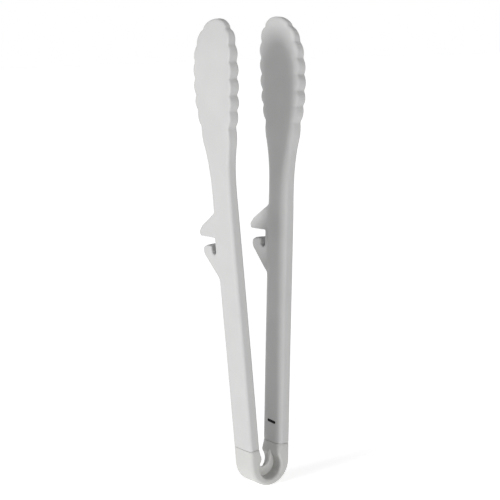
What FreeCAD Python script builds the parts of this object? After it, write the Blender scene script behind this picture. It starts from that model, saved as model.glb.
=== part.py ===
import FreeCAD, Part
import math
import os
from FreeCAD import Placement, Rotation, Vector

# Serving tongs: two silicone-covered arms with scalloped paddle heads and rim hooks, joined by a
# springy U-shaped heel. Millimetres. +Z runs from the heel to the heads, +Y from the front arm to
# the rear arm, and the rim hooks point to -X. The origin is the lowest point of the heel.

doc = FreeCAD.newDocument("Tongs")
sheet = doc.addObject("Spreadsheet::Sheet", "Sizes")

SIZES = {
    "arm_width": 18.0,           # across the handle, in X
    "arm_thickness": 8.4,        # handle, from inner face to outer face
    "arm_corner": 2.4,           # rounding along the arm
    "arm_length": 265.4,         # from the bend's centre to the tip, along the arm
    "half_opening": 3.3,         # degrees that each arm leans away from the middle plane
    "half_gap": 5.8,             # bend centre to each arm's inner face
    "seam": 10.3,                # bend centre to the joint between heel and arm
    "seam_gap": 0.3,
    "eye_radius": 7.9,           # round eye in the bend
    "eye_drop": 2.1,             # the eye's centre is this far below the bend's centre
    "rib_thickness": 2.0,
    "rib_radius": 4.9,           # the rib's concave inner edge
    "rib_rise": 0.7,             # its centre is this far above the bend's centre
    "rib_horn": 6.0,             # the rib runs out on each arm this far above the bend's centre
    "strip_width": 9.0,          # leaf spring
    "strip_thickness": 0.7,
    "strip_inset": 1.85,         # outer surface of the spring below the arm's outer face
    "strip_leg": 33.0,           # bend centre to the end of each spring leg
    "core_start": 10.8,
    "core_width": 11.0,
    "core_thickness": 1.6,
    "core_neck": 186.0,          # where the core starts to widen into the head
    "core_paddle": 212.0,        # where it has its full head width
    "core_end": 240.0,
    "core_head_width": 24.0,
    "rivet_low": 18.0,
    "rivet_high": 28.0,
    "rivet_radius": 1.0,
    "rivet_head_radius": 1.7,
    "rivet_head": 0.5,
    "fit": 0.04,                 # clearance between seated pieces
    "hook_plate_inset": 0.15,
    "notch_top": 139.0,          # underside of the tooth
    "slit_bottom": 128.6,
    "slit_width": 4.3,
    "mark_length": 7.6,
    "mark_width": 1.8,
    "mark_depth": 0.4,
    "mark_height": 23.2,
    "mark_offset": 0.95,         # from the arm's middle towards +X
    "mark_tilt": 4.0,            # degrees, the +X end lower
}
for row, (alias, value) in enumerate(SIZES.items(), start=1):
    sheet.set(f"A{row}", alias)
    sheet.set(f"B{row}", str(value))
    sheet.setAlias(f"B{row}", alias)
doc.recompute()


def size(alias):
    return float(sheet.get(alias))


ARM_THICKNESS = size("arm_thickness")
HALF_GAP = size("half_gap")
LEAN = size("half_opening")
BEND_HEIGHT = HALF_GAP + ARM_THICKNESS
STRIP_OUTER = BEND_HEIGHT - size("strip_inset")
STRIP_INNER = STRIP_OUTER - size("strip_thickness")
CORE_OUTER = STRIP_INNER - size("fit")
CORE_INNER = CORE_OUTER - size("core_thickness")
RIB_ROOT = 0.8      # how far the rib is sunk below the eye's surface
RIB_FLANK = 1.2     # how far its ends are sunk into the arms
OVERRUN = 1.0       # how far a hole or a pocket's cutter runs past the surface it opens
CUT_START = 3.0     # how far cutters for the inner face start in front of it
CHANNEL_RUN = 5.0   # how far the spring's channel cutter runs past the heel's ends
REACH = 50.0        # half the size of the blocks that trim an arm
OVERLAP = 0.02      # cutters that must meet overlap by this
CORE_SHOULDER = 0.6     # the core's corners near the tip, in half widths of its head
CORE_NOSE = 0.55
ARMS = {"front": -1, "rear": 1}


def arm_placement(side, turned=False):
    """Local frame of an arm: origin at the bend's centre, Z along the arm, Y across the opening."""
    lean = Rotation(Vector(1, 0, 0), -side * LEAN)
    if turned and side < 0:
        lean = lean.multiply(Rotation(Vector(0, 0, 1), 180))
    return Placement(Vector(0, 0, BEND_HEIGHT), lean)


# ---------------------------------------------------------------- sketch helpers

def origin_plane(body, role):
    return next(feature for feature in body.Origin.OriginFeatures if feature.Role == role)


def new_body(name):
    body = doc.addObject("PartDesign::Body", name)
    body.Label = name
    return body


def new_sketch(body, name, role):
    sketch = body.newObject("Sketcher::SketchObject", name)
    sketch.AttachmentSupport = [(origin_plane(body, role), "")]
    sketch.MapMode = "FlatFace"
    return sketch


def polyline(sketch, points):
    for start, end in zip(points, points[1:] + points[:1]):
        sketch.addGeometry(Part.LineSegment(Vector(*start, 0), Vector(*end, 0)), False)


def pad(body, sketch, length_expression, midplane=False):
    feature = body.newObject("PartDesign::Pad", sketch.Name + "Pad")
    feature.Profile = sketch
    feature.setExpression("Length", length_expression)
    feature.Midplane = midplane
    body.Tip = feature
    sketch.Visibility = False
    return feature


# ---------------------------------------------------------------- heel

def leaning(side, across, along):
    """A point of the Y-Z plane given in an arm's own directions, in heel coordinates."""
    turn = math.radians(LEAN)
    y = side * (across * math.cos(turn) + along * math.sin(turn))
    z = BEND_HEIGHT - across * math.sin(turn) + along * math.cos(turn)
    return y, z


def u_strip_edges(outer, inner, leg):
    """Closed outline of a U strip: two round bends about the bend's centre and two straight legs."""
    edges = []
    for radius in (outer, inner):
        ends = [leaning(side, radius, leg) for side in (-1, 1)]
        tangents = [leaning(side, radius, 0) for side in (-1, 1)]
        bottom = (0, BEND_HEIGHT - radius)
        edges.append(("line", ends[0], tangents[0]))
        edges.append(("arc", tangents[0], bottom, tangents[1]))
        edges.append(("line", tangents[1], ends[1]))
    for side in (-1, 1):
        edges.append(("line", leaning(side, outer, leg), leaning(side, inner, leg)))
    return edges


def draw(sketch, edges):
    for kind, *points in edges:
        vectors = [Vector(*point, 0) for point in points]
        if kind == "line":
            sketch.addGeometry(Part.LineSegment(*vectors), False)
        else:
            sketch.addGeometry(Part.Arc(*vectors), False)


def eye_edges(leg):
    """Outline of the heel: the outside of the U, and inside it a round eye wider than the gap."""
    radius = size("eye_radius")
    centre_z = BEND_HEIGHT - size("eye_drop")
    turn = math.radians(LEAN)
    # the eye meets an arm's inner face where that face is one radius from the eye's centre
    offset = HALF_GAP - size("eye_drop") * math.sin(turn)
    rise = math.sqrt(radius ** 2 - offset ** 2) - size("eye_drop") * math.cos(turn)
    outer = u_strip_edges(BEND_HEIGHT, HALF_GAP, leg)[:3]
    mouths = [leaning(side, HALF_GAP, rise) for side in (-1, 1)]
    ends = [leaning(side, HALF_GAP, leg) for side in (-1, 1)]
    edges = outer + [("line", leaning(-1, BEND_HEIGHT, leg), ends[0]), ("line", ends[0], mouths[0])]
    edges.append(("arc", mouths[0], (0, centre_z - radius), mouths[1]))
    edges += [("line", mouths[1], ends[1]), ("line", ends[1], leaning(1, BEND_HEIGHT, leg))]
    return edges


def rib_edges():
    """The crescent rib across the bottom of the eye, sunk a little into the heel all round."""
    root = size("eye_radius") + RIB_ROOT
    root_z = BEND_HEIGHT - size("eye_drop")
    inner = size("rib_radius")
    inner_z = BEND_HEIGHT + size("rib_rise")
    flank = HALF_GAP + RIB_FLANK
    low = root_z + math.sqrt(root ** 2 - flank ** 2)
    horn = (flank, BEND_HEIGHT + size("rib_horn"))
    edges = [("arc", (-flank, low), (0, root_z - root), (flank, low))]
    edges.append(("line", (flank, low), horn))
    edges.append(("line", horn, (inner, inner_z)))
    edges.append(("arc", (inner, inner_z), (0, inner_z - inner), (-inner, inner_z)))
    edges.append(("line", (-inner, inner_z), (-horn[0], horn[1])))
    edges.append(("line", (-horn[0], horn[1]), (-flank, low)))
    return edges


def strip_body(name, clearance, leg):
    body = new_body(name)
    sketch = new_sketch(body, name + "_profile", "YZ_Plane")
    draw(sketch, u_strip_edges(STRIP_OUTER + clearance, STRIP_INNER - clearance, leg))
    pad(body, sketch, f"Sizes.strip_width + {2 * clearance}", midplane=True)
    return body


def rivet_cylinder(name, radius_expression, start, length, side, height):
    """A cylinder across the opening, starting at the given distance from the middle plane."""
    cylinder = doc.addObject("Part::Cylinder", name)
    cylinder.setExpression("Radius", radius_expression)
    cylinder.Height = length
    across = Placement(Vector(0, start, size(height)), Rotation(Vector(1, 0, 0), -90))
    cylinder.Placement = arm_placement(side, turned=True).multiply(across)
    return cylinder


def fuse(name, shapes):
    result = doc.addObject("Part::MultiFuse", name)
    result.Shapes = shapes
    result.Label = name
    return result


def cut(name, base, tool):
    result = doc.addObject("Part::Cut", name)
    result.Base = base
    result.Tool = tool
    result.Label = name
    return result


def make_heel_cover():
    body = new_body("heel_block")
    profile = new_sketch(body, "heel_profile", "YZ_Plane")
    leg = size("seam") - size("seam_gap") / 2
    draw(profile, eye_edges(leg))
    block = pad(body, profile, "Sizes.arm_width", midplane=True)
    doc.recompute()
    rounded = body.newObject("PartDesign::Fillet", "heel_rounding")
    # the long edges round the outside of the U
    long_edges = []
    for index, edge in enumerate(block.Shape.Edges, start=1):
        low, high = edge.BoundBox.XMin, edge.BoundBox.XMax
        middle = edge.valueAt((edge.FirstParameter + edge.LastParameter) / 2)
        across = math.hypot(middle.y, middle.z - BEND_HEIGHT)
        on_outer = across > HALF_GAP + ARM_THICKNESS / 2 + 2 or abs(middle.y) > BEND_HEIGHT - 1
        if high - low < 0.1 and edge.Length > 8 and on_outer:
            long_edges.append(f"Edge{index}")
    rounded.Base = (block, long_edges)
    rounded.setExpression("Radius", "Sizes.arm_corner")
    body.Tip = rounded
    rib_sketch = new_sketch(body, "rib_profile", "YZ_Plane")
    draw(rib_sketch, rib_edges())
    pad(body, rib_sketch, "Sizes.rib_thickness", midplane=True)
    channel = strip_body("spring_channel", size("fit"), size("seam") + CHANNEL_RUN)
    return cut("heel_cover", body, channel)


def make_heel_spring():
    strip = strip_body("spring_strip", 0.0, size("strip_leg"))
    holes = []
    for arm, side in ARMS.items():
        for height in ("rivet_low", "rivet_high"):
            holes.append(rivet_cylinder(f"{arm}_{height}_spring_hole", "Sizes.rivet_radius + Sizes.fit",
                                        CORE_INNER, ARM_THICKNESS, side, height))
    return cut("heel_spring", strip, fuse("spring_holes", holes))


# ---------------------------------------------------------------- arm cores and rivets

def core_outline(clearance):
    half = size("core_width") / 2 + clearance
    head = size("core_head_width") / 2 + clearance
    low = size("core_start") - clearance
    end = size("core_end") + clearance
    shoulder = end - head * CORE_SHOULDER
    right = [(half, low), (half, size("core_neck")), (head, size("core_paddle")), (head, shoulder),
             (head * CORE_NOSE, end)]
    return right + [(-x, z) for x, z in reversed(right)]


def make_core(arm, side):
    body = new_body(f"{arm}_core_plate")
    outline = new_sketch(body, f"{arm}_core_outline", "XZ_Plane")
    polyline(outline, core_outline(0.0))
    # the outline is seen from -Y, and the plate grows towards +Y
    plate = pad(body, outline, "Sizes.core_thickness")
    plate.Reversed = True
    across = Placement(Vector(0, CORE_INNER, 0), Rotation())
    body.Placement = arm_placement(side, turned=True).multiply(across)
    holes = [rivet_cylinder(f"{arm}_{height}_core_hole", "Sizes.rivet_radius + Sizes.fit",
                            CORE_INNER - OVERRUN, size("core_thickness") + 2 * OVERRUN, side, height)
             for height in ("rivet_low", "rivet_high")]
    return cut(f"{arm}_core", body, fuse(f"{arm}_core_holes", holes))


def make_rivets(arm, side):
    pieces = []
    fit = size("fit")
    head = size("rivet_head")
    for height in ("rivet_low", "rivet_high"):
        inner_head = CORE_INNER - fit - head
        outer_head = STRIP_OUTER + fit
        name = f"{arm}_{height}"
        pieces.append(rivet_cylinder(name + "_shank", "Sizes.rivet_radius", inner_head,
                                     outer_head + head - inner_head, side, height))
        pieces.append(rivet_cylinder(name + "_inner_head", "Sizes.rivet_head_radius", inner_head,
                                     head, side, height))
        pieces.append(rivet_cylinder(name + "_outer_head", "Sizes.rivet_head_radius", outer_head,
                                     head, side, height))
    return fuse(f"{arm}_rivets", pieces)


# ---------------------------------------------------------------- arm sleeves

# Stations along the arm: distance from the bend's centre, half width, how far the inner face
# stands outside its straight line, and thickness. The arm bows outward a little and curls in
# at the tip.
STATIONS = [
    (0.0, 9.0, 0.00, 8.4), (50.0, 9.0, 0.00, 8.4), (90.0, 9.0, 0.25, 8.4), (130.0, 9.0, 0.60, 8.4),
    (160.0, 9.1, 0.85, 8.1),
    (178.0, 9.9, 1.15, 7.8), (190.0, 12.1, 1.35, 7.5), (200.0, 14.7, 1.45, 7.3),
    (212.0, 17.4, 1.40, 7.2), (225.0, 19.1, 1.00, 7.1), (238.0, 19.3, 0.30, 7.0),
    (250.0, 18.9, -0.75, 6.3), (260.0, 18.4, -1.90, 5.2), (270.0, 18.0, -3.10, 4.2),
]

# Valleys between the scallops on one side of the head, from the neck to the tip
VALLEYS = [(12.4, 192.0), (13.4, 204.7), (15.8, 214.1), (16.7, 223.0), (17.1, 232.3), (16.9, 241.7),
           (15.8, 251.0), (10.9, 259.8)]
SCALLOP_HEIGHT = 1.45
FIRST_SCALLOP_HEIGHT = 1.0

# Spoon hollow in the inner face: distance along the arm, half width and depth
HOLLOW = [(166.0, 2.5, 0.15), (182.0, 5.0, 0.8), (198.0, 9.0, 1.7), (214.0, 13.0, 2.3),
          (232.0, 14.4, 2.5), (246.0, 12.8, 1.8), (256.0, 8.5, 0.5)]

# Rim hook outlines, as lines and three-point arcs. Points are given out from the arm's hooked side,
# and up from the tooth's underside or from the bottom of the slit in the lug.
ROOT = -4.5
SLIT = size("slit_width")
BOW = SLIT / 2
TOOTH = [[(ROOT, 0.0), (ROOT, 14.3)], [(ROOT, 14.3), (0.0, 14.3)], [(0.0, 14.3), (12.4, 6.4)],
         [(12.4, 6.4), (15.8, 2.6), (15.0, 0.0)], [(15.0, 0.0), (ROOT, 0.0)]]
LUG = [[(ROOT, BOW), (ROOT, -13.4)], [(ROOT, -13.4), (0.0, -13.4)], [(0.0, -13.4), (12.5, -0.6)],
       [(12.5, -0.6), (13.1, 2.0), (12.3, 4.0)], [(12.3, 4.0), (8.4, 5.1), (SLIT, 5.3)],
       [(SLIT, 5.3), (SLIT, BOW)], [(SLIT, BOW), (BOW, 0.0), (0.0, BOW)], [(0.0, BOW), (ROOT, BOW)]]


def rounded_section(z, half, inner, thickness, corner):
    """Closed rounded rectangle across the arm, in the rear arm's local frame."""
    low = HALF_GAP + inner
    high = low + thickness
    r = min(corner, thickness / 2 - 0.1)
    k = r * (1 - math.sqrt(0.5))
    edges = []
    corners = [(half, high, -1, -1), (-half, high, 1, -1), (-half, low, 1, 1), (half, low, -1, 1)]
    starts = [((half, high - r), (half - r, high)), ((-half + r, high), (-half, high - r)),
              ((-half, low + r), (-half + r, low)), ((half - r, low), (half, low + r))]
    for index, (x, y, inward_x, inward_y) in enumerate(corners):
        start, end = starts[index]
        middle = (x + inward_x * k, y + inward_y * k)
        edges.append(Part.Arc(*[Vector(a, b, z) for a, b in (start, middle, end)]).toShape())
        following = starts[(index + 1) % 4][0]
        edges.append(Part.makeLine(Vector(*end, z), Vector(*following, z)))
    return Part.Wire(edges)


def station_values(z):
    """Inner offset and thickness of the arm at a distance along it."""
    for (z0, _, inner0, thick0), (z1, _, inner1, thick1) in zip(STATIONS, STATIONS[1:]):
        if z0 <= z <= z1:
            part = (z - z0) / (z1 - z0)
            return inner0 + part * (inner1 - inner0), thick0 + part * (thick1 - thick0)
    raise ValueError(f"no station around {z}")


def arc_with_height(start, end, height):
    """Arc from start to end that bulges to the right of its travel."""
    middle = ((start[0] + end[0]) / 2, (start[1] + end[1]) / 2)
    length = math.dist(start, end)
    normal = (-(end[1] - start[1]) / length, (end[0] - start[0]) / length)
    top = (middle[0] - normal[0] * height, middle[1] - normal[1] * height)
    return start, top, end


def prism(edges, low, high):
    """Solid between two distances from the middle plane with an outline given in X and Z."""
    wire = []
    for points in edges:
        vectors = [Vector(x, low, z) for x, z in points]
        if len(vectors) == 2:
            wire.append(Part.makeLine(*vectors))
        else:
            wire.append(Part.Arc(*vectors).toShape())
    return Part.Face(Part.Wire(wire)).extrude(Vector(0, high - low, 0))


def head_outline():
    """Outline that trims the arm: wide open along the handle, scalloped round the head."""
    tip = size("arm_length")
    wide = REACH
    start = 0.0
    edges = []
    right = [arc_with_height(a, b, FIRST_SCALLOP_HEIGHT if index == 0 else SCALLOP_HEIGHT)
             for index, (a, b) in enumerate(zip(VALLEYS, VALLEYS[1:]))]
    last = VALLEYS[-1]
    edges.append([(wide, start), (wide, VALLEYS[0][1])])
    edges.append([(wide, VALLEYS[0][1]), VALLEYS[0]])
    edges += [list(arc) for arc in right]
    edges.append([last, (0, tip), (-last[0], last[1])])
    for arc in reversed(right):
        edges.append([(-x, z) for x, z in reversed(arc)])
    edges.append([(-VALLEYS[0][0], VALLEYS[0][1]), (-wide, VALLEYS[0][1])])
    edges.append([(-wide, VALLEYS[0][1]), (-wide, start)])
    edges.append([(-wide, start), (wide, start)])
    return edges


def hook_pieces():
    """Tooth and lug of the rim hook, which share the arm's thickness."""
    inset = size("hook_plate_inset")
    edge = -size("arm_width") / 2
    inner, thickness = station_values(size("slit_bottom"))
    low = HALF_GAP + inner + inset
    high = low + thickness - 2 * inset
    pieces = []
    for runs, level in ((TOOTH, size("notch_top")), (LUG, size("slit_bottom"))):
        outline = [[(edge - out, level + up) for out, up in run] for run in runs]
        pieces.append(prism(outline, low, high))
    return pieces


def hollow_cutter():
    sections = []
    for z, half, depth in HOLLOW:
        inner, _ = station_values(z)
        level = HALF_GAP + inner
        above = level - CUT_START
        arc = Part.Arc(Vector(-half, level, z), Vector(0, level + depth, z), Vector(half, level, z))
        corners = [Vector(half, level, z), Vector(half, above, z), Vector(-half, above, z),
                   Vector(-half, level, z)]
        lines = [Part.makeLine(a, b) for a, b in zip(corners, corners[1:])]
        sections.append(Part.Wire([arc.toShape()] + lines))
    return Part.makeLoft(sections, True, True)


def sleeve_pocket():
    """Room inside a sleeve for its core, the spring leg and the rivet heads."""
    fit = size("fit")
    points = core_outline(fit)
    edges = [list(pair) for pair in zip(points, points[1:] + points[:1])]
    core = prism(edges, CORE_INNER - fit, CORE_OUTER + fit)
    mouth = size("seam") - OVERRUN
    half = size("core_width") / 2 + fit
    throat = Part.makeBox(2 * half, size("core_thickness") + 2 * fit, size("core_start") - mouth,
                          Vector(-half, CORE_INNER - fit, mouth))
    strip = size("strip_width") / 2 + fit
    leg = Part.makeBox(2 * strip, size("strip_thickness") + 2 * fit + OVERLAP,
                       size("strip_leg") + fit - mouth,
                       Vector(-strip, STRIP_INNER - fit - OVERLAP, mouth))
    heads = []
    reach = size("rivet_head") + 2 * fit
    for height in ("rivet_low", "rivet_high"):
        for start in (CORE_INNER - fit - size("rivet_head") - fit, STRIP_OUTER):
            heads.append(Part.makeCylinder(size("rivet_head_radius") + fit, reach + fit,
                                           Vector(0, start, size(height)), Vector(0, 1, 0)))
    return core.fuse([throat, leg] + heads)


def mark_seat(depth_offset):
    """Where the mark lies on the rear arm's inner face, in the arm's local frame."""
    centre = Vector(size("mark_offset"), HALF_GAP + depth_offset, size("mark_height"))
    return Placement(centre, Rotation(Vector(0, 1, 0), size("mark_tilt")))


def mark_recess():
    fit = size("fit")
    half = size("mark_length") / 2 - size("mark_width") / 2
    r = size("mark_width") / 2 + fit
    edges = [[(-half, -r), (half, -r)], [(half, -r), (half + r, 0), (half, r)],
             [(half, r), (-half, r)], [(-half, r), (-half - r, 0), (-half, -r)]]
    recess = prism(edges, 0, CUT_START + size("mark_depth") + fit)
    recess.Placement = mark_seat(-CUT_START)
    return recess


def make_sleeve(arm, side):
    corner = size("arm_corner")
    loft = Part.makeLoft([rounded_section(z, half, inner, thickness, corner)
                          for z, half, inner, thickness in STATIONS], True, True)
    start = size("seam") + size("seam_gap") / 2
    below_seam = Part.makeBox(2 * REACH, 2 * REACH, 2 * REACH, Vector(-REACH, -REACH, start - 2 * REACH))
    body = loft.cut(below_seam)
    body = body.common(prism(head_outline(), -REACH, REACH))
    body = body.fuse(hook_pieces())
    body = body.cut([hollow_cutter(), sleeve_pocket()])
    if arm == "rear":
        body = body.cut(mark_recess())
    if side < 0:
        body = body.mirror(Vector(0, 0, 0), Vector(0, 1, 0))
    sleeve = doc.addObject("Part::Feature", f"{arm}_sleeve")
    sleeve.Label = f"{arm}_sleeve"
    sleeve.Shape = body.Solids[0]
    sleeve.Placement = arm_placement(side)
    return sleeve


def make_mark():
    body = new_body("blank_mark")
    outline = new_sketch(body, "mark_outline", "XZ_Plane")
    half = size("mark_length") / 2 - size("mark_width") / 2
    r = size("mark_width") / 2
    draw(outline, [("line", (-half, -r), (half, -r)), ("arc", (half, -r), (half + r, 0), (half, r)),
                   ("line", (half, r), (-half, r)), ("arc", (-half, r), (-half - r, 0), (-half, -r))])
    plate = pad(body, outline, "Sizes.mark_depth")
    plate.Reversed = True
    body.Placement = arm_placement(ARMS["rear"]).multiply(mark_seat(0))
    return body


# ---------------------------------------------------------------- assemble and write

parts = [make_heel_cover(), make_heel_spring()]
for arm, side in ARMS.items():
    parts += [make_sleeve(arm, side), make_core(arm, side), make_rivets(arm, side)]
parts.append(make_mark())
doc.recompute()

for item in doc.Objects:
    if "Invalid" in item.State or "Error" in item.State:
        raise RuntimeError(f"{item.Label} did not build: {item.State}")
for part in parts:
    if part.Shape.isNull() or not part.Shape.isValid():
        raise RuntimeError(f"{part.Label} has no valid shape")

os.makedirs("parts", exist_ok=True)
for part in parts:
    part.Shape.exportStep(f"parts/{part.Label}.step")
    print(part.Label, len(part.Shape.Solids), round(part.Shape.Volume, 1))
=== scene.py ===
import math

import bmesh
import bpy
import numpy as np
from mathutils import Matrix, Vector
from mathutils.geometry import delaunay_2d_cdt


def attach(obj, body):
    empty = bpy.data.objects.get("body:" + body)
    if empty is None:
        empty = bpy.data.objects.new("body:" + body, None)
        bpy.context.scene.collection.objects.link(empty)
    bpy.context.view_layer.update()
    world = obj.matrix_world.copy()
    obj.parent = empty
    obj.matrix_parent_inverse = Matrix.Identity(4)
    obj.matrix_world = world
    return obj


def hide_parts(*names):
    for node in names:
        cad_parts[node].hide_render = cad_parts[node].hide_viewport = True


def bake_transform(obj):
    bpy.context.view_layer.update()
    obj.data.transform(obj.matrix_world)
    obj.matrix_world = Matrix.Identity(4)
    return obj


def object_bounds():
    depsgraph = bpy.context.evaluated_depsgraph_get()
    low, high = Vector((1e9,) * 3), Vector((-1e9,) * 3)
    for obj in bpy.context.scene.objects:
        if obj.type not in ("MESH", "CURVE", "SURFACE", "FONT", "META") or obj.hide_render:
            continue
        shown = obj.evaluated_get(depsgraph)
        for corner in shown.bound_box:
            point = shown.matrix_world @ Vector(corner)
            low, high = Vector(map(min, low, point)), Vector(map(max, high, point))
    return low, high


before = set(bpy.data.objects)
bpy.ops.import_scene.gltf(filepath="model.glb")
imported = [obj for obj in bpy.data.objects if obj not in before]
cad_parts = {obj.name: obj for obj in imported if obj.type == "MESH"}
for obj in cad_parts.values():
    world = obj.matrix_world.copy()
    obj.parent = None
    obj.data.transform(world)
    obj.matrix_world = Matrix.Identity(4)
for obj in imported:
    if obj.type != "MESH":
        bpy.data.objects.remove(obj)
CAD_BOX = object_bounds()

# Serving tongs. Lengths are in millimetres until a mesh is written. An arm is drawn in its own
# directions: u across the handle (world X), v along the arm from the centre of the heel's bend,
# and w outward from the middle plane between the arms.
MM = 0.001
LEAN = math.radians(3.3)
BEND = 14.2                 # outer radius of the heel, and the height of its centre
HALF_GAP = 5.8
HALF_WIDTH = 9.0
SEAM = 10.3
SEAM_GAP = 0.22
FACE_ROUND = 0.05           # rounding at the seam, on the arm's inner and outer face
SIDE_ROUND = 0.3            # and on its sides
EYE_RADIUS = 7.9
EYE_HEIGHT = BEND - 2.1
ARMS = {"front": -1, "rear": 1}

# ---------------------------------------------------------------- curves and distances


def smoothstep(low, high, value):
    t = np.clip((np.asarray(value, float) - low) / (high - low), 0, 1)
    return t * t * (3 - 2 * t)


def smooth_curve(points, step):
    """Catmull-Rom curve through the points, sampled about every step."""
    p = np.array(points, float)
    ends = np.vstack([2 * p[0] - p[1], p, 2 * p[-1] - p[-2]])
    out = []
    for a, b, c, d in zip(ends, ends[1:], ends[2:], ends[3:]):
        count = max(1, int(round(np.linalg.norm(c - b) / step)))
        t = (np.arange(count) / count)[:, None]
        out.append(0.5 * (2 * b + (c - a) * t + (2 * a - 5 * b + 4 * c - d) * t ** 2
                          + (3 * b - a - 3 * c + d) * t ** 3))
    return np.vstack(out + [p[-1:]])


def along(table, v):
    """Smooth value of a (position, value) table at positions v."""
    curve = smooth_curve(table, 1.0)
    return np.interp(v, curve[:, 0], curve[:, 1])


def bulge(start, end, height, count):
    """Arc from start to end, standing out by height on the right of its travel."""
    a, b = np.array(start, float), np.array(end, float)
    chord = np.linalg.norm(b - a)
    right = np.array([b[1] - a[1], a[0] - b[0]]) / chord
    radius = (chord ** 2 / 4 + height ** 2) / (2 * height)
    half = math.asin(min(1.0, chord / 2 / radius))
    angles = np.linspace(-half, half, count, endpoint=False)
    forward = (b - a) / chord
    centre = (a + b) / 2 + right * (height - radius)
    return centre + radius * (np.outer(np.sin(angles), forward) + np.outer(np.cos(angles), right))


def rounded_path(corners, step):
    """Open path through (u, v, radius) corners with each corner rounded by an arc."""
    path = [np.array(corners[0][:2], float)]
    for before, (u, v, radius), after in zip(corners, corners[1:], corners[2:]):
        corner = np.array((u, v), float)
        back = np.array(before[:2], float) - corner
        ahead = np.array(after[:2], float) - corner
        back, ahead = back / np.linalg.norm(back), ahead / np.linalg.norm(ahead)
        half = math.acos(max(-1.0, min(1.0, float(back @ ahead)))) / 2
        reach = radius / math.tan(half)
        centre = corner + (back + ahead) / np.linalg.norm(back + ahead) * radius / math.sin(half)
        a, b = corner + back * reach - centre, corner + ahead * reach - centre
        turn = math.atan2(a[0] * b[1] - a[1] * b[0], a @ b)
        count = max(3, int(abs(turn) * radius / 0.35))
        for t in np.linspace(0, turn, count + 1):
            path.append(centre + np.array((a[0] * math.cos(t) - a[1] * math.sin(t),
                                           a[0] * math.sin(t) + a[1] * math.cos(t))))
    path.append(np.array(corners[-1][:2], float))
    return divided(np.array(path), step)


def divided(path, step):
    """The path with its long runs cut to at most step."""
    out = []
    for a, b in zip(path, path[1:]):
        count = max(1, int(math.ceil(np.linalg.norm(b - a) / step)))
        out += [a + (b - a) * i / count for i in range(count)]
    return np.array(out + [path[-1]])


def distance(points, line):
    """Least distance of each point to an open path."""
    best = np.full(len(points), 1e9)
    for a, b in zip(line, line[1:]):
        d = b - a
        length = d @ d
        if length < 1e-12:
            continue
        t = np.clip((points - a) @ d / length, 0, 1)
        best = np.minimum(best, np.hypot(*(points - a - t[:, None] * d).T))
    return best


def inside(points, loop):
    result = np.zeros(len(points), bool)
    for (x0, y0), (x1, y1) in zip(loop, np.roll(loop, -1, axis=0)):
        if y0 == y1:
            continue
        crosses = (y0 > points[:, 1]) != (y1 > points[:, 1])
        at = x0 + (points[:, 1] - y0) / (y1 - y0) * (x1 - x0)
        result ^= crosses & (points[:, 0] < at)
    return result


def inward(line, loop, offset):
    """The path moved into the loop by offset, without the points that come too close again."""
    ahead = np.gradient(line, axis=0)
    ahead /= np.maximum(np.linalg.norm(ahead, axis=1), 1e-9)[:, None]
    normal = np.column_stack([-ahead[:, 1], ahead[:, 0]])
    moved = line + normal * offset
    keep = inside(moved, loop) & (distance(moved, line) > offset * OFFSET_KEPT)
    return moved[keep]


def spread(points, gap):
    """Drops points that follow another one too closely."""
    kept = [points[0]] if len(points) else []
    for p in points[1:]:
        if np.linalg.norm(p - kept[-1]) >= gap:
            kept.append(p)
    return kept


def round_over(d, reach, height):
    """How far a surface falls at a distance d from its edge, for an elliptical edge."""
    t = np.clip(1 - d / reach, 0, 1)
    return height * (1 - np.sqrt(1 - t * t))


# ---------------------------------------------------------------- meshes

RINGS = (0.08, 0.22, 0.5, 0.87, 1.35, 1.9, 2.55, 3.25, 4.2, 5.3, 6.5)
OFFSET_KEPT = 0.985     # share of its offset that a point of an inset ring keeps to its edge
RING_GAP = 0.25         # least distance between points of one ring
RING_GAP_GROWTH = 0.3   # and what it grows by with the ring's offset
FIELD_CLEARANCE = 0.4   # from the last ring to the inner grid, in grid steps
BORDER_CLEARANCE = 0.3  # from the outline to the inner grid
RING_CLEARANCE = 0.6    # from the outline to any other point, in first offsets
SHARP_ANGLE = math.radians(38)
WALL_EASE = 1.3         # how the wall of a plate follows its shifted surface


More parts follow.
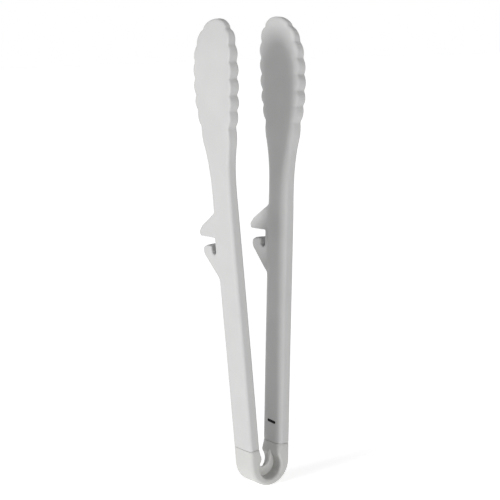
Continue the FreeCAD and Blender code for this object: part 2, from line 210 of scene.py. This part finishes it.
def plate(name, loop, lines, rings, grid, levels, place, wall_rows=4, shift=None):
    """Closed mesh between two surfaces over the same outline.

    loop is the outline, anticlockwise, lines are the stretches of it whose edges are rounded,
    levels(points) gives the heights of both surfaces, and place(points, height) puts them in the
    row frame. shift(points) moves the upper surface's points within its plane."""
    extra = []
    for offset in rings:
        for line in lines:
            moved = inward(line, loop, offset)
            clear = np.ones(len(moved), bool)
            for other in lines:
                if other is not line:
                    clear &= distance(moved, other) > offset
            extra += spread(moved[clear], max(RING_GAP, offset * RING_GAP_GROWTH))
    low, high = loop.min(0), loop.max(0)
    us = np.arange(low[0] + grid / 2, high[0], grid)
    vs = np.arange(low[1] + grid / 2, high[1], grid)
    field = np.array([(u + (i % 2) * grid / 2, v) for i, v in enumerate(vs) for u in us])
    away = np.min([distance(field, line) for line in lines], axis=0)
    field = field[inside(field, loop) & (away > rings[-1] + grid * FIELD_CLEARANCE)]
    closed = np.vstack([loop, loop[:1]])
    extra += list(field[distance(field, closed) > BORDER_CLEARANCE])
    extra = np.array(extra)
    extra = extra[distance(extra, closed) > rings[0] * RING_CLEARANCE]
    flat = [Vector(p) for p in np.vstack([loop, extra])]
    n = len(loop)
    edges = [(i, (i + 1) % n) for i in range(n)]
    # output type 1 keeps only the triangles that the outline encloses
    verts, _, faces, origin, _, _ = delaunay_2d_cdt(flat, edges, [], 1, 1e-7)
    points = np.array([tuple(v) for v in verts])
    index = {}
    for i, sources in enumerate(origin):
        for s in sources:
            if s < n:
                index[s] = i
    border = [index[i] for i in range(n)]
    lower, upper = levels(points)
    m = len(points)
    moved = shift(points) if shift else np.zeros_like(points)
    coords = [place(points, lower), place(points + moved, upper)]
    polys = [list(f)[::-1] for f in faces] + [[i + m for i in f] for f in faces]
    rows = [border]
    for r in range(1, wall_rows):
        share = r / wall_rows
        rows.append(list(range(2 * m + (r - 1) * n, 2 * m + r * n)))
        coords.append(place(points[border] + moved[border] * share ** WALL_EASE,
                            lower[border] * (1 - share) + upper[border] * share))
    rows.append([i + m for i in border])
    for below, above in zip(rows, rows[1:]):
        for i in range(n):
            j = (i + 1) % n
            polys.append([below[i], below[j], above[j], above[i]])
    mesh = bpy.data.meshes.new(name)
    mesh.from_pydata((np.vstack(coords) * MM).tolist(), [], polys)
    return finished(name, mesh)


def finished(name, mesh):
    """Object of a mesh with clean outward faces, smooth but for its real edges."""
    bm = bmesh.new()
    bm.from_mesh(mesh)
    loose = [v for v in bm.verts if not v.link_faces]
    bmesh.ops.delete(bm, geom=loose, context="VERTS")
    bmesh.ops.recalc_face_normals(bm, faces=bm.faces)
    bm.to_mesh(mesh)
    bm.free()
    mesh.polygons.foreach_set("use_smooth", [True] * len(mesh.polygons))
    mesh.set_sharp_from_angle(angle=SHARP_ANGLE)
    piece = bpy.data.objects.new(name, mesh)
    bpy.context.scene.collection.objects.link(piece)
    return piece


def arm_place(side):
    """Puts arm points (u, v) at a distance w from the middle plane."""
    def place(points, w):
        y = side * (w * math.cos(LEAN) + points[:, 1] * math.sin(LEAN))
        z = BEND - w * math.sin(LEAN) + points[:, 1] * math.cos(LEAN)
        return np.column_stack([points[:, 0], y, z])
    return place


# ---------------------------------------------------------------- arm sleeves

NECK = [(9.0, 150.0), (9.0, 158.0), (9.05, 166.0), (9.5, 175.0), (10.7, 185.0), (12.3, 192.4)]
VALLEYS = [(12.3, 192.4), (13.3, 204.7), (15.6, 214.1), (16.4, 222.8), (16.9, 232.3), (16.8, 241.7),
           (15.6, 251.1), (10.9, 259.9)]
LOBES = [0.9, 1.7, 2.0, 2.0, 1.95, 1.9, 2.3]
TIP = [(10.9, 259.9), (10.6, 261.3), (9.5, 262.6), (7.2, 264.0), (4.0, 265.1), (0.0, 265.6)]
HOOK = [(-9.0, 153.4, 3.0), (-21.8, 145.2, 4.0), (-25.0, 141.6, 2.0), (-24.1, 138.8, 0.7),
        (-9.4, 139.0, 0.8), (-9.4, 128.8, 2.0), (-13.6, 128.8, 2.0), (-13.6, 133.8, 0.6),
        (-18.4, 133.9, 2.6), (-21.8, 132.3, 1.8), (-22.3, 129.8, 1.6), (-21.4, 127.6, 3.0),
        (-9.0, 115.3, 3.0)]
HOOK_TOP = 154.0
HEAD_FOOT = 154.6            # the head's outline starts here on the hooked side
HOOK_FOOT = 110.0
INNER_BOW = [(0, 0.0), (60, 0.1), (90, 0.25), (120, 0.45), (160, 0.78), (180, 1.14), (200, 1.46),
             (220, 1.28), (240, 0.19), (255, -1.17), (264, -2.46), (272, -3.7)]
DEPTH = [(0, 8.4), (130, 8.4), (160, 8.1), (178, 7.8), (190, 7.6), (212, 7.6), (238, 7.5), (250, 6.8),
         (260, 5.7), (266, 4.9), (272, 4.3)]
HOLLOW = [(150, 0.0), (162, 0.0), (172, 0.25), (184, 1.0), (198, 1.9), (214, 2.5), (230, 2.6),
          (242, 2.1), (252, 1.2), (259, 0.35), (263, 0.0), (272, 0.0)]
HOLLOW_HALF = [(150, 5.0), (172, 6.0), (184, 8.0), (198, 11.5), (214, 15.0), (230, 16.4), (242, 15.8),
               (252, 13.5), (259, 10.0), (272, 8.0)]
INNER_EDGE = (6.5, 3.0)      # reach across the face, and height, of the rounding
OUTER_EDGE = (2.3, 2.0)
HEAD_INNER_EDGE = (4.2, 2.3)
HEAD_OUTER_EDGE = (1.5, 1.0)
HOOK_EDGE = (1.1, 0.8)
OUTER_SCALLOPS = 0.85        # height of the scallops on the outer face, of those on the inner one

# Step lengths of the outline's stretches
HANDLE_STEP = 2.5
NECK_STEP = 1.6
LOBE_POINTS = 14
TIP_STEP = 0.7
HOOK_STEP = 0.8

# Where one form runs over into the next, as (start, end)
TO_HEAD = (172, 205)
TO_TIP = (262, 266)
TO_HOOK = (6.8, 8.6)         # across the handle
HOOK_FADE_IN = (112.5, 116.5)
HOOK_FADE_OUT = (152.0, 155.5)
SHARP_TO_SOFT = (0.3, 3.0)   # from the outline, where the scallops soften
TIP_THINNING = 0.25          # the rounding's loss of height at the tip
SCALLOP_FADE = 5             # how far the scallops' taper reaches into the face


def arm_side(lobe_share):
    """Open path up the +X side, round the scalloped head, and down the hooked side."""
    start = SEAM + SEAM_GAP / 2
    handle = divided(np.array([(HALF_WIDTH - SIDE_ROUND, start), (HALF_WIDTH, start + SIDE_ROUND),
                               NECK[0]]), HANDLE_STEP)[:-1]
    neck = smooth_curve(NECK, NECK_STEP)[:-1]
    lobes = [bulge(a, b, height * lobe_share, LOBE_POINTS)
             for a, b, height in zip(VALLEYS, VALLEYS[1:], LOBES)]
    tip = smooth_curve(TIP, TIP_STEP)
    head = np.vstack([neck] + lobes + [tip[:-1]])
    mirrored = head[::-1] * (-1, 1)
    head = np.vstack([head, [TIP[-1]], mirrored])
    head[1:-1] = head[:-2] * 0.25 + head[1:-1] * 0.5 + head[2:] * 0.25
    hook = rounded_path([(-HALF_WIDTH, HOOK_TOP, 0)] + HOOK + [(-HALF_WIDTH, HOOK_FOOT, 0)], HOOK_STEP)
    tail = divided(np.array([(-HALF_WIDTH, HOOK_FOOT), (-HALF_WIDTH, start + SIDE_ROUND),
                             (-HALF_WIDTH + SIDE_ROUND, start)]), HANDLE_STEP)[1:]
    above_hook = (head[:, 0] > 0) | (head[:, 1] > HEAD_FOOT)
    return np.vstack([handle, head[above_hook], hook, tail])


def arm_levels(points, side_line, soft_line):
    """Distances of the inner and outer face of the rear arm from the middle plane."""
    u, v = points[:, 0], points[:, 1]
    start = SEAM + SEAM_GAP / 2
    sharp = distance(points, side_line)
    soft = distance(points, soft_line)
    d = sharp + (soft - sharp) * smoothstep(*SHARP_TO_SOFT, sharp)
    head = smoothstep(*TO_HEAD, v)
    hook = smoothstep(*TO_HOOK, -u) * (smoothstep(*HOOK_FADE_IN, v) - smoothstep(*HOOK_FADE_OUT, v))

    def edge(handle, paddle):
        reach = handle[0] + (paddle[0] - handle[0]) * head
        rise = handle[1] + (paddle[1] - handle[1]) * head
        reach = reach + (HOOK_EDGE[0] - reach) * hook
        rise = rise + (HOOK_EDGE[1] - rise) * hook
        return round_over(d, reach, rise)

    inner = HALF_GAP + along(INNER_BOW, v)
    outer = inner + along(DEPTH, v)
    dish = along(HOLLOW, v) * np.clip(1 - (u / along(HOLLOW_HALF, v)) ** 2, 0, 1) ** 1.5
    seam = round_over(v - start, FACE_ROUND, FACE_ROUND)
    kept = 1 - TIP_THINNING * smoothstep(*TO_TIP, v)
    return (inner + edge(INNER_EDGE, HEAD_INNER_EDGE) * kept + dish + seam,
            outer - edge(OUTER_EDGE, HEAD_OUTER_EDGE) * kept - seam)


def make_sleeve(arm, side):
    line = arm_side(1.0)
    soft = arm_side(OUTER_SCALLOPS)

    def shift(points):
        """Scallops fade towards the outer face."""
        nearest = np.argmin(((points[:, None, :] - line[None]) ** 2).sum(2), axis=1)
        fade = 1 - smoothstep(0, SCALLOP_FADE, np.linalg.norm(points - line[nearest], axis=1))
        return (soft - line)[nearest] * fade[:, None]

    start = SEAM + SEAM_GAP / 2
    rings = [r for r in RINGS if r > SIDE_ROUND]
    across = sorted({-HALF_WIDTH + r for r in rings} | {HALF_WIDTH - r for r in rings}
                    | {-1.6, 0.0, 1.6})
    bottom = np.array([(u, start) for u in across])
    loop = np.vstack([line, bottom])
    piece = plate(f"{arm}_sleeve_skin", loop, [line], RINGS, 2.2,
                  lambda p: arm_levels(p, line, soft), arm_place(side), 6, shift)
    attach(piece, f"{arm}_arm")
    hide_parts(f"{arm}_sleeve")
    return piece


# ---------------------------------------------------------------- heel

def leaning(across, v):
    """The Y and Z of a point given in the rear arm's own directions."""
    return (across * math.cos(LEAN) + v * math.sin(LEAN),
            BEND - across * math.sin(LEAN) + v * math.cos(LEAN))


def arc(centre, radius, start, end, count):
    angles = np.radians(np.linspace(start, end, count))
    return np.column_stack([centre[0] + radius * np.cos(angles), centre[1] + radius * np.sin(angles)])


HEEL_RINGS = (0.07, 0.2, 0.42, 0.75, 1.15, 1.6, 2.2, 3.0)
HEEL_CUTS = list(HEEL_RINGS[1:])    # steps in from both ends of a straight edge
HEEL_ARC_POINTS = 44
HEEL_STEP = 0.9
MOUTH_STEP = 0.7
MOUTH_SMOOTHING = 6                 # passes that round the corner between the eye and the leg
HEEL_GRID = 1.1
EYE_TO_LEG = (17.0, 24.0)           # heights between which the inner edge's rounding changes
LEG_EDGE = (6.5, 3.0)               # that rounding at the top of the heel, in X and in the Y-Z plane
EYE_EDGE = (1.5, 1.5)               # and round the eye


def heel_place(side):
    """Puts points (y, z) at a distance x from the middle of the handle's width."""
    def place(points, x):
        return np.column_stack([x, side * points[:, 0], points[:, 1]])
    return place


def make_heel_half(arm, side):
    """Half of the heel cover, from the middle plane to one arm, drawn in Y and Z."""
    leg = SEAM - SEAM_GAP / 2
    lean = math.degrees(LEAN)
    outer = np.vstack([arc((0, BEND), BEND, -90, -lean, HEEL_ARC_POINTS),
                       divided(np.array([leaning(BEND, 0), leaning(BEND, leg)]), HEEL_STEP)[1:]])
    mouth_offset = HALF_GAP - (BEND - EYE_HEIGHT) * math.sin(LEAN)
    mouth = math.sqrt(EYE_RADIUS ** 2 - mouth_offset ** 2) - (BEND - EYE_HEIGHT) * math.cos(LEAN)
    mouth_point = leaning(HALF_GAP, mouth)
    top = leaning(HALF_GAP, leg)
    mouth_angle = math.degrees(math.atan2(mouth_point[1] - EYE_HEIGHT, mouth_point[0]))
    inner = np.vstack([divided(np.array([top, mouth_point]), MOUTH_STEP)[:-1],
                       arc((0, EYE_HEIGHT), EYE_RADIUS, mouth_angle, -90, HEEL_ARC_POINTS)])
    for _ in range(MOUTH_SMOOTHING):
        inner[1:-1] = inner[:-2] * 0.25 + inner[1:-1] * 0.5 + inner[2:] * 0.25
    outward, back = np.array(outer[-1]), np.array(inner[0])
    span = np.linalg.norm(back - outward)
    cuts = HEEL_CUTS + [4.0] + [span - c for c in reversed(HEEL_CUTS)]
    seam = np.array([outward + (back - outward) * c / span for c in cuts])
    low, high = inner[-1], outer[0]
    span = low[1] - high[1]
    cuts = HEEL_CUTS[:-1] + [2.8] + [span - c for c in reversed(HEEL_CUTS[:4])]
    middle = np.array([(0.0, low[1] - c) for c in cuts])
    loop = np.vstack([outer, seam, inner, middle])
    seam_line = np.vstack([outward, back])

    def levels(points):
        from_outer = distance(points, outer)
        from_inner = distance(points, inner)
        share = smoothstep(*EYE_TO_LEG, points[:, 1])
        in_x = EYE_EDGE[0] + (LEG_EDGE[0] - EYE_EDGE[0]) * share
        in_plane = EYE_EDGE[1] + (LEG_EDGE[1] - EYE_EDGE[1]) * share
        half = HALF_WIDTH - round_over(from_outer, OUTER_EDGE[1], OUTER_EDGE[0])
        half = half - round_over(from_inner, in_plane, in_x)
        half = half - round_over(distance(points, seam_line), SIDE_ROUND, SIDE_ROUND)
        return -half, half

    piece = plate(f"heel_cover_{arm}_half", loop, [outer, inner], HEEL_RINGS, HEEL_GRID, levels,
                  heel_place(side), 6)
    blend_to_arm(piece, arm, side)
    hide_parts("heel_cover")
    return piece


def blend_to_arm(piece, arm, side):
    """Bakes the piece's placement into its mesh; nothing bends the heel to follow the arm."""
    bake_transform(piece)


RIB_CENTRE = (0.0, BEND + 0.7)      # of its concave inner edge
RIB_RADIUS = 4.9
RIB_ROOT = 0.6                      # how far it is sunk below the eye's surface
RIB_HORN = (HALF_GAP + 1.2, BEND + 6.2)
RIB_SHOULDER = (5.5, BEND + 4.0)    # the inner edge swings through this point up to the horn
RIB_HALF = 1.0
RIB_ROUND = 0.6
RIB_RINGS = (0.07, 0.2, 0.4, 0.6)


def make_rib_half(arm, side):
    """Half of the thin crescent rib in the eye."""
    root_radius = EYE_RADIUS + RIB_ROOT
    root_angle = math.degrees(math.acos(RIB_HORN[0] / root_radius))
    root = arc((0, EYE_HEIGHT), root_radius, -90, root_angle, 30)
    edge = np.vstack([smooth_curve([RIB_HORN, RIB_SHOULDER, (RIB_RADIUS, RIB_CENTRE[1])], 0.5)[:-1],
                      arc(RIB_CENTRE, RIB_RADIUS, 0, -90, 26)])
    back = divided(np.array([root[-1], RIB_HORN]), 0.8)[1:-1]
    middle = divided(np.array([edge[-1], root[0]]), 0.5)[1:-1]
    loop = np.vstack([root, back, edge, middle])

    def levels(points):
        half = RIB_HALF - round_over(distance(points, edge), RIB_ROUND, RIB_ROUND)
        return -half, half

    piece = plate(f"heel_rib_{arm}_half", loop, [edge], RIB_RINGS, 0.8, levels, heel_place(side), 3)
    blend_to_arm(piece, arm, side)
    return piece


SPRING_INSET = 1.85         # outer surface of the spring below the heel's
SPRING_HALF_THICKNESS = 0.35
SPRING_HALF_WIDTH = 4.5
SPRING_BEVEL = 0.15
SPRING_LEG = 33.0           # from the bend's centre to the end of each leg


def make_spring_half(arm, side):
    """Half of the leaf spring inside the heel, with its leg in the sleeve."""
    middle = BEND - SPRING_INSET - SPRING_HALF_THICKNESS
    lean = math.degrees(LEAN)
    path = np.vstack([arc((0, BEND), middle, -90, -lean, 30),
                      divided(np.array([leaning(middle, 0), leaning(middle, SPRING_LEG)]), 1.5)[1:]])
    ahead = np.gradient(path, axis=0)
    ahead /= np.linalg.norm(ahead, axis=1)[:, None]
    normal = np.column_stack([ahead[:, 1], -ahead[:, 0]])
    wide, deep = SPRING_HALF_WIDTH, SPRING_HALF_THICKNESS
    flat, upright = wide - SPRING_BEVEL, deep - SPRING_BEVEL
    section = [(-wide, -upright), (-flat, -deep), (flat, -deep), (wide, -upright), (wide, upright),
               (flat, deep), (-flat, deep), (-wide, upright)]
    count = len(section)
    verts = [(x, side * (p[0] + n[0] * t), p[1] + n[1] * t) for p, n in zip(path, normal)
             for x, t in section]
    polys = [[i * count + k, i * count + (k + 1) % count, (i + 1) * count + (k + 1) % count,
              (i + 1) * count + k] for i in range(len(path) - 1) for k in range(count)]
    polys += [list(range(count)), list(range((len(path) - 1) * count, len(path) * count))]
    mesh = bpy.data.meshes.new(f"heel_spring_{arm}_half")
    mesh.from_pydata((np.array(verts) * MM).tolist(), [], polys)
    piece = finished(mesh.name, mesh)
    blend_to_arm(piece, arm, side)
    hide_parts("heel_spring")
    return piece


MARK_HALF = 2.9             # half length of the bar's straight part
MARK_RADIUS = 0.9
MARK_TILT = math.radians(-4)
MARK_CENTRE = (0.95, 23.2)
MARK_PROUD = 0.08           # how far it stands out of the arm
MARK_SUNK = 0.15            # and how far it reaches in


def make_mark():
    """Plain printed bar on the rear arm's inner face, just above the heel."""
    right = arc((MARK_HALF, 0), MARK_RADIUS, -90, 90, 12)
    left = arc((-MARK_HALF, 0), MARK_RADIUS, 90, 270, 12)
    outline = np.vstack([right, left])
    turn = np.array([(math.cos(MARK_TILT), math.sin(MARK_TILT)),
                     (-math.sin(MARK_TILT), math.cos(MARK_TILT))])
    outline = divided(np.vstack([outline, outline[:1]]), 0.5)[:-1] @ turn + MARK_CENTRE
    closed = np.vstack([outline, outline[:1]])

    def levels(points):
        surface = HALF_GAP + along(INNER_BOW, points[:, 1]) + round_over(
            HALF_WIDTH - np.abs(points[:, 0]), *INNER_EDGE)
        rounded = round_over(distance(points, closed), 0.12, 0.06)
        return surface - MARK_PROUD + rounded, surface + MARK_SUNK

    piece = plate("printed_mark", outline, [closed], (0.06, 0.12), 0.4, levels, arm_place(1), 2)
    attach(piece, "rear_arm")
    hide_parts("blank_mark")
    return piece


# ---------------------------------------------------------------- materials

def new_material(name):
    material = bpy.data.materials.new(name)
    material.use_nodes = True
    tree = material.node_tree
    return material, tree, tree.nodes["Principled BSDF"]


def noise(tree, scale, detail, roughness=0.5):
    coords = tree.nodes.new("ShaderNodeTexCoord")
    node = tree.nodes.new("ShaderNodeTexNoise")
    node.inputs["Scale"].default_value = scale
    node.inputs["Detail"].default_value = detail
    node.inputs["Roughness"].default_value = roughness
    tree.links.new(coords.outputs["Object"], node.inputs["Vector"])
    return node


def ramp(tree, source, stops):
    node = tree.nodes.new("ShaderNodeValToRGB")
    for element, (position, colour) in zip(node.color_ramp.elements, (stops[0], stops[-1])):
        element.position = position
        element.color = colour
    for position, colour in stops[1:-1]:
        node.color_ramp.elements.new(position).color = colour
    tree.links.new(source, node.inputs["Fac"])
    return node


def value_range(tree, source, low, high):
    node = tree.nodes.new("ShaderNodeMapRange")
    node.inputs["From Min"].default_value = 0.3
    node.inputs["From Max"].default_value = 0.7
    node.inputs["To Min"].default_value = low
    node.inputs["To Max"].default_value = high
    tree.links.new(source, node.inputs["Value"])
    return node


def bumps(tree, shader, layers):
    """Chain of bump layers: (height socket, strength, distance in metres)."""
    last = None
    for height, strength, reach in layers:
        node = tree.nodes.new("ShaderNodeBump")
        node.inputs["Strength"].default_value = strength
        node.inputs["Distance"].default_value = reach
        tree.links.new(height, node.inputs["Height"])
        if last is not None:
            tree.links.new(last.outputs["Normal"], node.inputs["Normal"])
        last = node
    tree.links.new(last.outputs["Normal"], shader.inputs["Normal"])


def moulded(name, colour, rough, variation):
    """Moulded matte surface: faint cloudy tone, fine grain and slow roughness changes."""
    material, tree, shader = new_material(name)
    cloud = noise(tree, 55, 4)
    dark = tuple(c * (1 - variation) for c in colour) + (1,)
    light = tuple(min(1, c * (1 + variation)) for c in colour) + (1,)
    tone = ramp(tree, cloud.outputs["Fac"], [(0.35, dark), (0.65, light)])
    tree.links.new(tone.outputs["Color"], shader.inputs["Base Color"])
    smear = noise(tree, 24, 5, 0.6)
    gloss = value_range(tree, smear.outputs["Fac"], rough - 0.06, rough + 0.06)
    tree.links.new(gloss.outputs["Result"], shader.inputs["Roughness"])
    grain = noise(tree, 3200, 2)
    wave = noise(tree, 140, 3)
    bumps(tree, shader, [(wave.outputs["Fac"], 0.25, 0.00012), (grain.outputs["Fac"], 0.35, 0.00003)])
    shader.inputs["Specular IOR Level"].default_value = 0.4
    return material


def steel(name, colour, rough, stretch):
    """Drawn metal with fine lines along one direction."""
    material, tree, shader = new_material(name)
    coords = tree.nodes.new("ShaderNodeTexCoord")
    mapping = tree.nodes.new("ShaderNodeMapping")
    mapping.inputs["Scale"].default_value = stretch
    tree.links.new(coords.outputs["Object"], mapping.inputs["Vector"])
    lines = noise(tree, 900, 3)
    tree.links.new(mapping.outputs["Vector"], lines.inputs["Vector"])
    tone = ramp(tree, lines.outputs["Fac"], [(0.3, tuple(c * 0.85 for c in colour) + (1,)),
                                             (0.7, tuple(colour) + (1,))])
    tree.links.new(tone.outputs["Color"], shader.inputs["Base Color"])
    gloss = value_range(tree, lines.outputs["Fac"], rough - 0.08, rough + 0.1)
    tree.links.new(gloss.outputs["Result"], shader.inputs["Roughness"])
    bumps(tree, shader, [(lines.outputs["Fac"], 0.3, 0.00004)])
    shader.inputs["Metallic"].default_value = 1.0
    return material


def ink():
    """Near-black print with a slightly broken edge tone."""
    material, tree, shader = new_material("printed_ink")
    speck = noise(tree, 2600, 3)
    tone = ramp(tree, speck.outputs["Fac"], [(0.3, (0.002, 0.002, 0.002, 1)),
                                             (0.75, (0.006, 0.006, 0.006, 1))])
    tree.links.new(tone.outputs["Color"], shader.inputs["Base Color"])
    gloss = value_range(tree, speck.outputs["Fac"], 0.45, 0.65)
    tree.links.new(gloss.outputs["Result"], shader.inputs["Roughness"])
    bumps(tree, shader, [(speck.outputs["Fac"], 0.4, 0.00003)])
    shader.inputs["Specular IOR Level"].default_value = 0.1
    return material


SILICONE = moulded("soft_silicone", (0.478, 0.478, 0.476), 0.56, 0.018)
PLASTIC = moulded("heel_plastic", (0.476, 0.475, 0.463), 0.47, 0.014)
# The rib is given a lighter tone than the heel's plastic. This is a painted highlight that stands in for
# the light on the rib's face, not a different plastic.
RIB_PAINTED_LIGHT = moulded("rib_painted_light", (0.68, 0.678, 0.66), 0.47, 0.014)
NYLON = moulded("core_nylon", (0.22, 0.22, 0.23), 0.5, 0.05)
SPRING_STEEL = steel("spring_steel", (0.55, 0.55, 0.54), 0.34, (1, 1, 14))
RIVET_STEEL = steel("rivet_steel", (0.62, 0.62, 0.61), 0.3, (10, 1, 10))
INK = ink()


def paint(piece, material):
    piece.data.materials.clear()
    piece.data.materials.append(material)


for arm, side in ARMS.items():
    paint(make_sleeve(arm, side), SILICONE)
    paint(make_heel_half(arm, side), PLASTIC)
    # the rib gets the lighter tone with the painted highlight
    paint(make_rib_half(arm, side), RIB_PAINTED_LIGHT)
    paint(make_spring_half(arm, side), SPRING_STEEL)
    paint(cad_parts[f"{arm}_core"], NYLON)
    paint(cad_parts[f"{arm}_rivets"], RIVET_STEEL)
paint(make_mark(), INK)

# ---------------------------------------------------------------- stage, light and camera


FLOOR_RADIUS = 8.0          # metres, like every length from here on
FLOOR_GAP = 0.0002
CAMERA_AZIMUTH = math.radians(54.0)
CAMERA_ELEVATION = math.radians(9.72)
CAMERA_ROLL = math.radians(1.87)
CAMERA_DISTANCE = 0.8052
CAMERA_SHIFT = (-0.00318, 0.00336)      # to its right and up
CAMERA_AIM = Vector((0, 0, 0.14))


def make_floor():
    """Wide pale floor just under the heel."""
    mesh = bpy.data.meshes.new("floor")
    bm = bmesh.new()
    bmesh.ops.create_circle(bm, cap_ends=True, segments=96, radius=FLOOR_RADIUS)
    bm.to_mesh(mesh)
    bm.free()
    floor = bpy.data.objects.new("floor", mesh)
    floor.location = (0, 0, CAD_BOX[0].z - FLOOR_GAP)
    bpy.context.scene.collection.objects.link(floor)
    material, tree, shader = new_material("pale_floor")
    shade = noise(tree, 3, 2)
    tone = ramp(tree, shade.outputs["Fac"], [(0.3, (0.86, 0.86, 0.86, 1)), (0.7, (0.88, 0.88, 0.88, 1))])
    tree.links.new(tone.outputs["Color"], shader.inputs["Base Color"])
    shader.inputs["Roughness"].default_value = 0.9
    shader.inputs["Specular IOR Level"].default_value = 0.1
    shader.inputs["Emission Color"].default_value = (1, 1, 1, 1)
    shader.inputs["Emission Strength"].default_value = 0.58
    floor.data.materials.append(material)


def sun(name, azimuth, elevation, softness, strength):
    """Even light from far away. Azimuth 0 is in front (-Y), and softness is its spread in degrees."""
    a, e = math.radians(azimuth), math.radians(elevation)
    back = Vector((math.sin(a) * math.cos(e), -math.cos(a) * math.cos(e), math.sin(e)))
    data = bpy.data.lights.new(name, "SUN")
    data.angle = math.radians(softness)
    data.energy = strength
    lamp = bpy.data.objects.new(name, data)
    lamp.location = back * 2
    lamp.rotation_mode = "QUATERNION"
    lamp.rotation_quaternion = back.to_track_quat("Z", "Y")
    bpy.context.scene.collection.objects.link(lamp)


def make_world():
    """White near the horizon, like a lit backdrop, and dimmer overhead."""
    world = bpy.data.worlds.new("studio")
    world.use_nodes = True
    tree = world.node_tree
    background = tree.nodes["Background"]
    coords = tree.nodes.new("ShaderNodeTexCoord")
    split = tree.nodes.new("ShaderNodeSeparateXYZ")
    tree.links.new(coords.outputs["Generated"], split.inputs["Vector"])
    band = ramp(tree, split.outputs["Z"], [(0.0, (1.0, 1.0, 1.0, 1)), (0.1, (1.0, 1.0, 1.0, 1)),
                                           (0.3, (0.2, 0.2, 0.2, 1))])
    tree.links.new(band.outputs["Color"], background.inputs["Color"])
    bpy.context.scene.world = world


def make_camera():
    azimuth, elevation, roll = CAMERA_AZIMUTH, CAMERA_ELEVATION, CAMERA_ROLL
    right = Vector((math.cos(azimuth), math.sin(azimuth), 0))
    back = Vector((math.sin(azimuth) * math.cos(elevation), -math.cos(azimuth) * math.cos(elevation),
                   math.sin(elevation)))
    up = back.cross(right)
    data = bpy.data.cameras.new("photo_camera")
    data.sensor_width = 36.0
    data.lens = 97.92
    data.clip_start = 0.05
    data.clip_end = 50.0
    camera = bpy.data.objects.new("photo_camera", data)
    place = CAMERA_AIM + back * CAMERA_DISTANCE + right * CAMERA_SHIFT[0] + up * CAMERA_SHIFT[1]
    turned_right = right * math.cos(roll) - up * math.sin(roll)
    turned_up = right * math.sin(roll) + up * math.cos(roll)
    matrix = Matrix((turned_right, turned_up, back)).transposed().to_4x4()
    matrix.translation = place
    camera.matrix_world = matrix
    bpy.context.scene.collection.objects.link(camera)
    bpy.context.scene.camera = camera


make_floor()
make_world()
sun("overhead", 0, 88, 30, 0.5)
sun("key", 1, 13, 21, 1.98)
sun("side_fill", 92, 12, 40, 0.65)
bpy.context.scene.view_settings.view_transform = "Standard"
make_camera()
